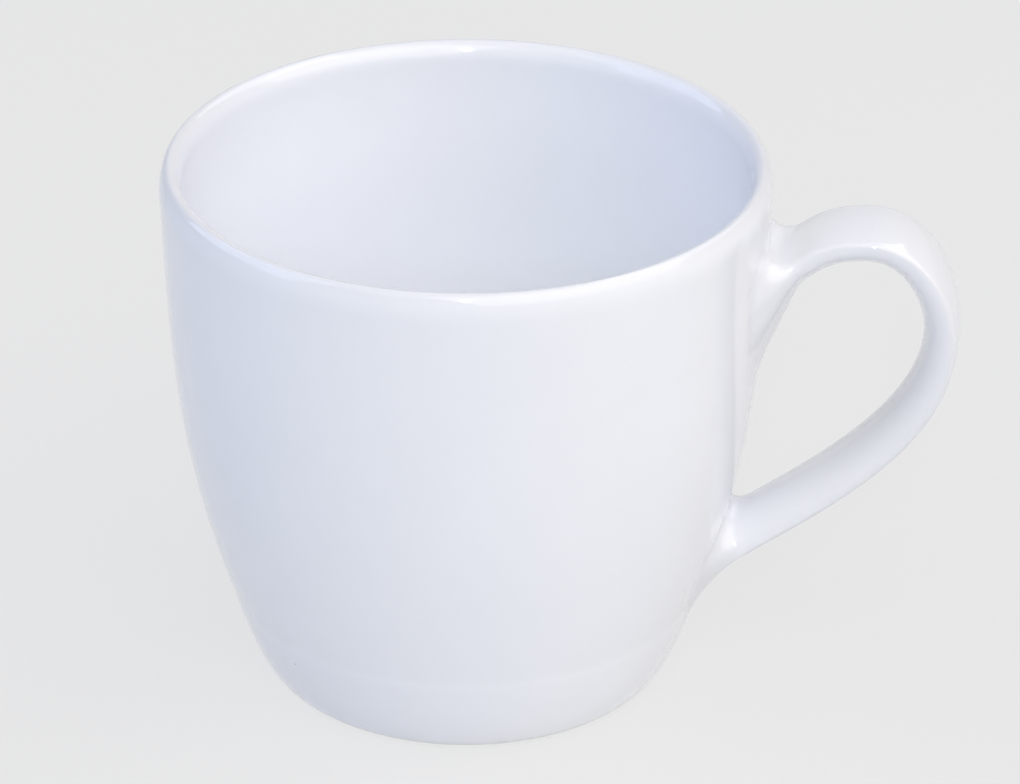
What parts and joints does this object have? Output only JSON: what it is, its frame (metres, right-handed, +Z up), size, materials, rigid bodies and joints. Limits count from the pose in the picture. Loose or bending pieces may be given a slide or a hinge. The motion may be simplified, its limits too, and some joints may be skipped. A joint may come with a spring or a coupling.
{
  "type": "espresso cup",
  "caption": "Small white glazed porcelain cup with a rounded lip, a wall that curves in to a hollow standing ring, and an ear-shaped strap handle luted to its side.",
  "frame": {"origin": "in the plane that the cup stands on, at the middle of the whole cup's length and width", "axes": "+Z up out of the cup's mouth, +X from the bowl towards the handle, +Y across the handle"},
  "size_m": [0.0816, 0.062, 0.0564],
  "materials": {
    "glazed_porcelain": "glossy clear glaze over white porcelain",
    "luting_slip": "fired white slip under the glaze"
  },
  "bodies": {
    "root": {"cup_body": "glazed_porcelain", "handle": "glazed_porcelain", "upper_slip_joint": "luting_slip", "lower_slip_joint": "luting_slip"}
  },
  "joints": []
}
